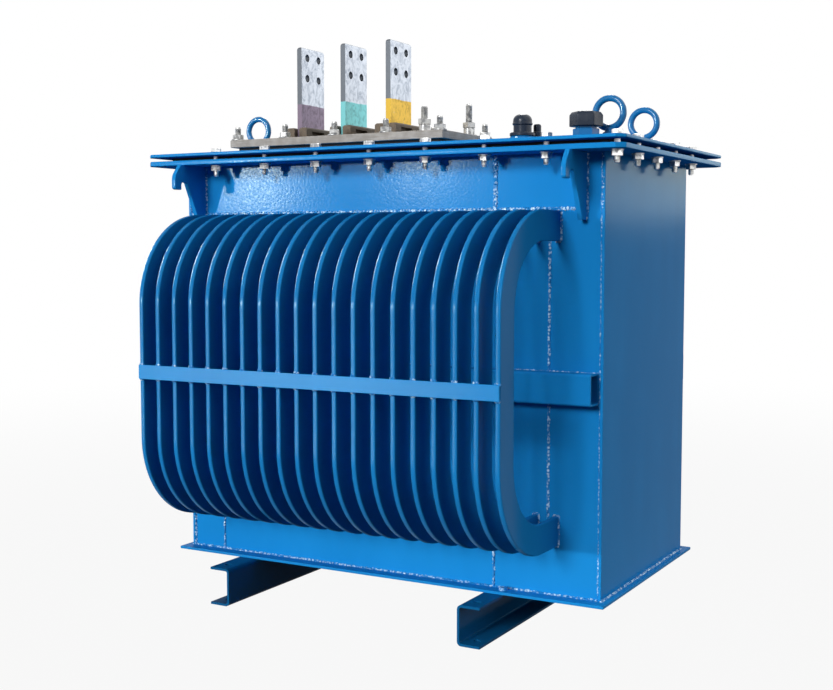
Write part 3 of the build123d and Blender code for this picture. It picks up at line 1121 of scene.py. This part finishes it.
class TRANSFORMER_OT_rim_bolts(bpy.types.Operator):
    """Bolts with washers and nuts around the rim"""

    bl_idname = "transformer.rim_bolts"
    bl_label = "Rim bolts"

    THREAD_SIDES = 14
    WASHER_FACE_SHARE = 0.94
    SHANK_OVERLAP = 0.001
    TURN_PER_METRE = 7.0

    def washer(self, sizes, bottom):
        """A washer with eased edges."""
        radius, edge = sizes.washer_radius, sizes.washer_edge
        face, top = radius * self.WASHER_FACE_SHARE, bottom + sizes.washer_height
        return turned([(face, bottom), (radius, bottom + edge), (radius, top - edge), (face, top)])

    def bolt(self, sizes):
        """One bolt, the cover's top at z = 0."""
        rim_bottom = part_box("rim_flange")[0].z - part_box("cover")[1].z
        nut_top = rim_bottom - sizes.washer_height
        nut_bottom = nut_top - sizes.nut_height
        head_top = sizes.washer_height + sizes.head_height
        shank = [(sizes.radius, nut_bottom), (sizes.radius, self.SHANK_OVERLAP)]
        return join(
            [
                self.washer(sizes, 0),
                turned(hexagon(sizes.head_radius, sizes.washer_height, head_top, sizes.chamfer), HEXAGON),
                turned(shank, self.THREAD_SIDES),
                self.washer(sizes, nut_top),
                turned(hexagon(sizes.head_radius, nut_bottom, nut_top, sizes.chamfer), HEXAGON),
                self.stud_end(sizes, nut_bottom),
            ]
        )

    def stud_end(self, sizes, level):
        """Thread that stands out under a nut."""
        profile = thread(sizes.radius, 0, sizes.stud_end, sizes.thread_pitch)
        end = turned(profile, self.THREAD_SIDES)
        end.matrix_world = Matrix.Translation((0, 0, level)) @ Matrix.Rotation(math.pi, 4, "X")
        settle(end)
        return end

    def row(self, count, pitch):
        """Places along a row, its middle at 0."""
        return [pitch * (number - (count - 1) / 2) for number in range(count)]

    def execute(self, context):
        sizes = context.scene.transformer_bolts
        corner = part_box("cover")[1]
        reach_x = corner.x - sizes.end_edge_gap
        reach_y = corner.y - sizes.row_edge_gap
        long_row = self.row(sizes.row_count, sizes.row_pitch) + [reach_x]
        end_row = self.row(sizes.end_count, sizes.end_pitch)
        front = [moved(x, -reach_y, corner.z, x * self.TURN_PER_METRE) for x in long_row]
        right = [moved(reach_x, y, corner.z, y * self.TURN_PER_METRE) for y in end_row]
        rows = {
            "front": front,
            "right": right,
            "back": [behind(place) for place in front],
            "left": [behind(place) for place in right],
        }
        model = self.bolt(sizes)
        for side, places in rows.items():
            hand_over(repeated(model, places), side + "_rim_bolts", "plated_steel", "zinc_plating")
        bpy.data.objects.remove(model)
        return {"FINISHED"}


class TRANSFORMER_OT_board(bpy.types.Operator):
    """Terminal board with its bolts"""

    bl_idname = "transformer.board"
    bl_label = "Terminal board"

    THREAD_SIDES = 16
    WASHER_EDGE_SHARE = 0.8
    WASHER_FACE_SHARE = 0.92
    FRONT_TURN = 0.8
    BACK_TURN = 1.2

    def bolt(self, sizes):
        """Washer, nut and stud on the board's top at z = 0."""
        washer, level = sizes.board_washer, sizes.washer_height
        nut_top = level + sizes.nut_height
        stud_top = nut_top + sizes.board_stud
        edge, face = level * self.WASHER_EDGE_SHARE, washer * self.WASHER_FACE_SHARE
        stud = thread(sizes.board_radius, nut_top, stud_top, sizes.thread_pitch)
        return join(
            [
                turned([(washer, 0), (washer, edge), (face, level)]),
                turned(hexagon(sizes.board_nut, level, nut_top, sizes.board_chamfer), HEXAGON),
                turned(stud, self.THREAD_SIDES),
            ]
        )

    def execute(self, context):
        sizes = context.scene.transformer_bolts
        board = eased("terminal_board", context.scene.transformer_plates.board_easing)
        hand_over(board, "terminal_board_pressed", "laminate", "pressed_laminate", "terminal_board")
        low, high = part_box("terminal_board")
        gap = sizes.board_edge_gap
        pitch = (high.x - low.x - 2 * gap) / (sizes.board_count - 1)
        places = []
        for number in range(sizes.board_count):
            x = low.x + gap + pitch * number
            places.append(moved(x, low.y + gap, high.z, number * self.FRONT_TURN))
            places.append(moved(x, high.y - gap, high.z, number * self.BACK_TURN))
        model = self.bolt(sizes)
        hand_over(repeated(model, places), "board_bolts", "plated_steel", "dull_plating")
        bpy.data.objects.remove(model)
        return {"FINISHED"}


class TRANSFORMER_OT_bars(bpy.types.Operator):
    """Tinned busbars and the clamp blocks at their feet"""

    bl_idname = "transformer.bars"
    bl_label = "Busbars and clamps"

    EASING_STEPS = 3
    CORNER_STEPS = 4
    FACING_X = 0.99
    SIDE_GAP = 0.0005
    SIDE_SHARE = 0.25

    def round_top(self, bar):
        """Round the bar's two top corners."""
        spots = [vertex.co for vertex in bar.data.vertices]
        top = max(spot.z for spot in spots)
        sides = (min(spot.y for spot in spots), max(spot.y for spot in spots))

        def corner(spot):
            return top - spot.z < MERGE_GAP and min(abs(spot.y - side) for side in sides) < MERGE_GAP

        def across(first, second):
            return corner(first) and corner(second) and abs(first.y - second.y) < MERGE_GAP

        pick_edges(bar, across)
        with editing(bar, "EDGE"):
            rounding = bpy.context.scene.transformer_plates.bar_corner
            bpy.ops.mesh.bevel(offset=rounding, segments=self.CORNER_STEPS)

    def clamp(self, node, sizes):
        """Clamp blocks with a recess in each outer side."""
        piece = eased(node, sizes.block_easing)
        low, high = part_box(node)
        middle_height = (low.z + high.z) / 2
        reach = (high.z - low.z) * self.SIDE_SHARE

        def outer(middle, normal):
            side_gap = min(abs(middle.x - low.x), abs(middle.x - high.x))
            facing = abs(normal.x) > self.FACING_X and side_gap < self.SIDE_GAP
            return facing and abs(middle.z - middle_height) < reach

        pick_faces(piece, outer)
        with editing(piece):
            bpy.ops.mesh.inset(thickness=sizes.recess_rim, use_individual=True)
            bpy.ops.transform.resize(
                value=(1, sizes.recess_share, 1), center_override=(0, low.y + sizes.recess_place, 0)
            )
            bpy.ops.mesh.extrude_faces_move(TRANSFORM_OT_shrink_fatten={"value": -sizes.recess_depth})
        return piece

    def execute(self, context):
        sizes = context.scene.transformer_plates
        for side in BARS:
            node, slot = side + "_busbar", "tinned_" + side
            bar = eased(node, sizes.bar_easing, self.EASING_STEPS, self.round_top)
            hand_over(bar, node + "_tinned", slot, "tinned_bar_" + side, node)
            node = side + "_bar_clamp"
            clamp = self.clamp(node, sizes)
            hand_over(clamp, side + "_clamp_blocks", "laminate_block", "clamp_block", node)
        return {"FINISHED"}


class TRANSFORMER_OT_studs(bpy.types.Operator):
    """Threaded terminal studs with washer, collar and nut"""

    bl_idname = "transformer.studs"
    bl_label = "Terminal studs"

    TURN = 0.3
    WASHER_SIDES = 28
    COLLAR_SIDES = 24
    THREAD_SIDES = 20
    LOWER_EDGE_SHARE = 0.6
    UPPER_EDGE_SHARE = 0.8

    def stud(self, sizes, height):
        """One stud, its foot at z = 0."""
        washer, top, edge = sizes.washer_radius, sizes.washer_height, sizes.washer_edge
        foot = [
            (washer - edge, 0),
            (washer, edge * self.LOWER_EDGE_SHARE),
            (washer, top - edge * self.UPPER_EDGE_SHARE),
            (washer - edge, top),
        ]
        collar = [
            (sizes.collar_radius, top),
            (sizes.collar_radius, sizes.collar_top),
            (sizes.collar_neck, sizes.nut_bottom),
        ]
        nut = hexagon(sizes.nut_radius, sizes.nut_bottom, sizes.nut_top, sizes.nut_chamfer)
        stem = thread(sizes.radius, sizes.nut_top, height, sizes.thread_pitch)
        return join(
            [
                turned(foot, self.WASHER_SIDES),
                turned(collar, self.COLLAR_SIDES),
                turned(nut, HEXAGON),
                turned(stem, self.THREAD_SIDES),
            ]
        )

    def execute(self, context):
        sizes = context.scene.transformer_studs
        low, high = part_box("terminal_studs")
        pieces = []
        for name, height in (("front_stud", sizes.front_height), ("rear_stud", high.z - low.z)):
            x, y = mount_spot(name)[:2]
            stud = self.stud(sizes, height)
            stud.matrix_world = moved(x, y, low.z, self.TURN)
            pieces.append(stud)
        studs = join(pieces)
        hand_over(studs, "terminal_studs_threaded", "plated_steel", "dull_plating", "terminal_studs")
        return {"FINISHED"}


class TRANSFORMER_OT_rings(bpy.types.Operator):
    """Lifting rings with a neck and a welded foot"""

    bl_idname = "transformer.rings"
    bl_label = "Lifting rings"

    RING_STEPS = 56
    WIRE_SIDES = 18
    FOOT_SIDES = 28

    def ring(self, sizes, lift):
        """One ring, its foot at z = 0."""
        fresh()
        bpy.ops.mesh.primitive_torus_add(
            major_segments=self.RING_STEPS,
            minor_segments=self.WIRE_SIDES,
            major_radius=sizes.ring_bend,
            minor_radius=sizes.ring_wire,
            location=(0, 0, lift),
            rotation=(QUARTER_TURN, 0, 0),
        )
        wire = bpy.context.object
        settle(wire)
        foot, neck, edge = sizes.ring_foot, sizes.ring_neck, sizes.ring_edge
        rise, top = sizes.ring_foot_height, lift - sizes.ring_bend
        profile = [
            (foot * 1.12, 0),
            (foot * 1.05, edge),
            (foot, edge * 1.5),
            (foot, rise - edge),
            (foot * 0.9, rise),
            (neck * 1.05, rise + edge),
            (neck, rise + edge * 2),
            (neck, top - edge / 2),
            (neck * 0.7, top + edge / 2),
        ]
        return join([wire, turned(profile, self.FOOT_SIDES)])

    def execute(self, context):
        sizes = context.scene.transformer_fittings
        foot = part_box("lifting_rings")[0].z
        pieces = []
        for name in ("front_ring", "middle_ring", "left_ring"):
            x, y, z = mount_spot(name)
            ring = self.ring(sizes, z - foot)
            ring.matrix_world = moved(x, y, foot)
            pieces.append(ring)
        hand_over(join(pieces), "lifting_rings_round", PAINT_SLOT, "fitting_paint", "lifting_rings")
        return {"FINISHED"}


class TRANSFORMER_OT_fittings(bpy.types.Operator):
    """Filler, domed cap and plug on the cover, and the drain boss"""

    bl_idname = "transformer.fittings"
    bl_label = "Cover fittings"

    HEXAGON_TURN = math.radians(30)
    CAP_CORNER_ANGLE = math.radians(50)
    CAP_CORNER_STEPS = 4
    CROWN_STEPS = 6
    CAP_SIDES = 32
    BOSS_SIDES = 20
    PLUG_SIDES = 18

    def drain(self, sizes):
        """Drilled boss on the base plate in front of the wall."""
        radius, reach, edge = sizes.drain_radius, sizes.drain_reach, sizes.drain_edge
        profile = [
            (radius * 1.1, 0),
            (radius, edge * 2),
            (radius, reach - edge),
            (radius * 0.88, reach),
            (radius * 0.5, reach),
            (radius * 0.45, edge),
        ]
        boss = turned(profile, self.BOSS_SIDES)
        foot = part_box("front_wall")[0]
        boss.matrix_world = moved(sizes.drain_place, foot.y - sizes.drain_gap, foot.z)
        return boss

    def filler_socket(self, sizes):
        """Hexagonal socket with a narrower neck under the cap."""
        corner = sizes.socket_flats / math.sqrt(3)
        top = sizes.socket_height - sizes.socket_neck
        profile = hexagon(corner, 0, top, sizes.socket_chamfer)
        neck = corner * 0.8
        return turned(profile + [(neck, top), (neck, sizes.socket_height)], HEXAGON)

    def pocket_socket(self, sizes):
        """Round socket with a chamfered top."""
        radius, high, cut = sizes.pocket_radius, sizes.pocket_height, sizes.socket_chamfer
        return turned([(radius, 0), (radius, high - cut), (radius - cut, high)], self.CAP_SIDES)

    def filler_cap(self, sizes):
        """Hexagonal cap with rounded corners, a chamfered top and a sunk middle."""
        corner, high = sizes.filler_flats / math.sqrt(3), sizes.filler_height
        profile = [
            (corner * 0.95, 0),
            (corner, sizes.filler_edge),
            (corner, high - sizes.filler_chamfer),
            (corner * 0.86, high),
            (corner * 0.62, high),
            (corner * 0.58, high - sizes.filler_sink),
        ]
        cap = turned(profile, HEXAGON)
        round_edges(cap, sizes.filler_corner, self.CAP_CORNER_STEPS, self.CAP_CORNER_ANGLE)
        return cap

    def dome(self, sizes):
        """Domed cap: flange, waist, ledge and a crown with a rounded edge."""
        radius, high, crown = sizes.cap_radius, sizes.cap_height, sizes.cap_crown
        flange, edge = sizes.cap_flange, sizes.cap_edge
        waist, top = radius * 0.90, radius * 0.95
        ledge = high - crown - sizes.cap_ledge
        profile = [
            (radius * 1.22, 0),
            (radius * 1.27, edge),
            (radius * 1.27, flange - edge * 1.5),
            (radius * 1.2, flange),
            (waist, flange + edge),
            (waist, ledge - edge * 2),
            (radius, ledge),
            (radius, ledge + edge * 3),
            (top, ledge + edge * 4),
            (top, high - crown),
        ]
        for step in range(1, self.CROWN_STEPS + 1):
            angle = step / self.CROWN_STEPS * QUARTER_TURN
            profile.append((top - crown * (1 - math.cos(angle)), high - crown * (1 - math.sin(angle))))
        return turned(profile, self.CAP_SIDES)

    def plug(self, sizes):
        """Stepped plug: hexagon foot, collar and narrower top."""
        radius, high = sizes.plug_radius, sizes.plug_height
        collar = [(0.92, 0.42), (0.95, 0.62), (0.80, 0.66)]
        top = [(0.70, 0.64), (0.78, 0.70), (0.78, 0.92), (0.62, 0.98), (0.30, 1.0)]
        foot = hexagon(radius, 0, high * collar[0][1], sizes.plug_chamfer)
        pieces = [turned(foot, HEXAGON)]
        for shares in (collar, top):
            profile = [(radius * wide, high * level) for wide, level in shares]
            pieces.append(turned(profile, self.PLUG_SIDES))
        return join(pieces)

    def execute(self, context):
        sizes = context.scene.transformer_fittings
        low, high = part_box("cover")
        cover = high.z
        turn = self.HEXAGON_TURN + sizes.filler_turn
        filler = (high.x - sizes.filler_end_gap, low.y + sizes.filler_edge_gap)
        pocket = (high.x - sizes.pocket_end_gap, low.y + sizes.pocket_edge_gap)
        plug_spot = (pocket[0] + sizes.plug_shift, pocket[1] + sizes.plug_back_shift)

        socket, round_socket = self.filler_socket(sizes), self.pocket_socket(sizes)
        socket.matrix_world = moved(*filler, cover, turn)
        round_socket.matrix_world = moved(*pocket, cover)
        sockets = join([socket, round_socket])
        hand_over(sockets, "cover_sockets_steel", PAINT_SLOT, "fitting_paint", "cover_sockets")

        hand_over(self.drain(sizes), "drain_boss", PAINT_SLOT, "weld_paint")

        cap, dome, plug = self.filler_cap(sizes), self.dome(sizes), self.plug(sizes)
        cap.matrix_world = moved(*filler, cover + sizes.socket_height, turn)
        dome.matrix_world = moved(*pocket, cover + sizes.pocket_height)
        plug.matrix_world = moved(*plug_spot, cover)
        caps = join([cap, dome, plug])
        hand_over(caps, "cover_caps_moulded", "black_plastic", "moulded_plastic", "cover_caps")
        return {"FINISHED"}


KEY_SPREAD = math.radians(5)
SOFT_SPREAD = math.radians(16)
SIDE_SPREAD = math.radians(100)
REAR_SPREAD = math.radians(16)
WALL_SPREAD = math.radians(1.5)
NOSE_SPREAD = math.radians(16)
BEND_SPREAD = math.radians(30)
END_SPREAD = math.radians(14)
BEND_OUT = Vector((-0.35, -0.85, 0.40)).normalized()
SHEENS = (
    ("left_sheen", WALL_SPREAD, FRONT, PAINTED),
    ("right_sheen", WALL_SPREAD, FRONT, PAINTED),
    ("tube_sheen", NOSE_SPREAD, FRONT, TUBES),
    ("bend_sheen", BEND_SPREAD, BEND_OUT, TUBES),
    ("end_sheen", END_SPREAD, ALONG, PAINTED),
)
LAMP_HEIGHT = 3.0
FLOOR_DROP = 0.0005
FLOOR_FADE = (0.8, 5.0)
SENSOR_WIDTH = 36.0
WHITE = (1, 1, 1)


class TRANSFORMER_OT_stage(bpy.types.Operator):
    """Floor, world, lamps and camera"""

    bl_idname = "transformer.stage"
    bl_label = "Stage"

    def floor(self, stage):
        """Pale floor, white to the camera and fading to white away from the object."""
        fresh()
        bpy.ops.mesh.primitive_plane_add(size=stage.floor_size, location=(0, 0, -FLOOR_DROP))
        floor = bpy.context.object
        settle(floor)
        floor.name = "studio_floor"
        finish = Finish(bpy.data.materials.new("studio_floor"))
        spot = finish.add("ShaderNodeTexCoord", out="Object")
        away = finish.add("ShaderNodeVectorMath", {"operation": "LENGTH"}, {0: spot}, "Value")
        glow = finish.step(away, *FLOOR_FADE) * (1 - stage.floor_glow) + stage.floor_glow
        plain = finish.add("ShaderNodeBsdfDiffuse", None, {"Color": colours().floor})
        white = finish.add("ShaderNodeEmission", None, {"Color": WHITE, "Strength": 1.0})
        whiteness = self.seen(finish) * glow
        finish.output(finish.add("ShaderNodeMixShader", None, {0: whiteness, 1: plain, 2: white}))
        floor.data.materials.append(finish.owner)

    def seen(self, finish):
        """1 for what the camera sees straight, in a mirror or through glass."""
        straight = finish.add("ShaderNodeLightPath", out="Is Camera Ray")
        glossy = finish.add("ShaderNodeLightPath", out="Is Glossy Ray")
        through = finish.add("ShaderNodeLightPath", out="Is Transmission Ray")
        return straight + glossy + through

    def world(self, stage):
        """White to the camera and in reflections, a plain level of light for the rest."""
        world = bpy.data.worlds.new("studio")
        bpy.context.scene.world = world
        finish = Finish(world)
        seen = self.seen(finish)
        level = seen + (1 - seen) * stage.ambient
        finish.output(finish.add("ShaderNodeBackground", None, {"Color": WHITE, "Strength": level}))

    def lamp(self, name, way, strength, spread, shade=True, shine=True):
        """A sun lamp; it may leave out the shading or the shine."""
        fresh()
        turn = Vector(way).to_track_quat("-Z", "Y").to_euler()
        bpy.ops.object.light_add(type="SUN", location=(0, 0, LAMP_HEIGHT), rotation=turn)
        lamp = bpy.context.object
        lamp.name = name
        lamp.data.energy = strength
        lamp.data.angle = spread
        lamp.visible_diffuse = shade
        lamp.visible_glossy = shine
        return lamp

    def sheens(self, stage):
        """Lamps that only shine, each mirrored into the photograph's view by one spot."""
        for name, spread, out, pieces in SHEENS:
            view = Vector(stage.camera_place) - Vector(getattr(stage, name))
            strength = getattr(stage, name + "_strength")
            lamp = self.lamp(name + "_light", view.reflect(out), strength, spread, shade=False)
            lamp.light_linking.receiver_collection = gathered(pieces)
            lamp.light_linking.blocker_collection = gathered(PIECES)
            lamp.data.color = stage.sheen_tint

    def execute(self, context):
        stage = context.scene.transformer_stage
        context.scene.view_settings.view_transform = "Standard"
        self.floor(stage)
        self.world(stage)
        self.lamp("key_light", stage.key_way, stage.key_strength, KEY_SPREAD, shine=False)
        self.lamp("soft_light", stage.soft_way, stage.soft_strength, SOFT_SPREAD)
        self.sheens(stage)
        self.lamp("side_light", stage.side_way, stage.side_strength, SIDE_SPREAD)
        self.lamp("rear_light", stage.rear_way, stage.rear_strength, REAR_SPREAD)
        fresh()
        bpy.ops.object.camera_add(location=stage.camera_place, rotation=stage.camera_turn)
        camera = bpy.context.object
        camera.data.lens = stage.lens
        camera.data.sensor_fit = "HORIZONTAL"
        camera.data.sensor_width = SENSOR_WIDTH
        context.scene.camera = camera
        return {"FINISHED"}


SETTINGS = {
    "transformer_tubes": TubeSizes,
    "transformer_plates": PlateSizes,
    "transformer_welds": WeldSizes,
    "transformer_bolts": BoltSizes,
    "transformer_studs": StudSizes,
    "transformer_fittings": FittingSizes,
    "transformer_colours": Colours,
    "transformer_stage": StageSettings,
}
OPERATORS = (
    TRANSFORMER_OT_solids,
    TRANSFORMER_OT_plates,
    TRANSFORMER_OT_tubes,
    TRANSFORMER_OT_welds,
    TRANSFORMER_OT_rim_bolts,
    TRANSFORMER_OT_board,
    TRANSFORMER_OT_bars,
    TRANSFORMER_OT_studs,
    TRANSFORMER_OT_rings,
    TRANSFORMER_OT_fittings,
    TRANSFORMER_OT_stage,
)


class TRANSFORMER_PT_looks(bpy.types.Panel):
    """Lists the steps and their settings"""

    bl_idname = "TRANSFORMER_PT_looks"
    bl_label = "Furnace transformer"
    bl_space_type = "VIEW_3D"
    bl_region_type = "UI"
    bl_category = "Transformer"

    def draw(self, context):
        for operator in OPERATORS:
            self.layout.operator(operator.bl_idname)
        for name, kind in SETTINGS.items():
            box = self.layout.box()
            box.label(text=kind.__doc__)
            for key in kind.__annotations__:
                box.prop(getattr(context.scene, name), key)


CLASSES = (*SETTINGS.values(), *OPERATORS, TRANSFORMER_PT_looks)


def register():
    for kind in CLASSES:
        bpy.utils.register_class(kind)
    for name, kind in SETTINGS.items():
        setattr(bpy.types.Scene, name, PointerProperty(type=kind))


def unregister():
    for name in SETTINGS:
        delattr(bpy.types.Scene, name)
    for kind in reversed(CLASSES):
        bpy.utils.unregister_class(kind)


def main():
    register()
    bpy.ops.transformer.solids()
    bpy.ops.transformer.plates()
    bpy.ops.transformer.tubes()
    bpy.ops.transformer.welds()
    bpy.ops.transformer.rim_bolts()
    bpy.ops.transformer.board()
    bpy.ops.transformer.bars()
    bpy.ops.transformer.studs()
    bpy.ops.transformer.rings()
    bpy.ops.transformer.fittings()
    bpy.ops.transformer.stage()


if __name__ == "__main__":
    main()
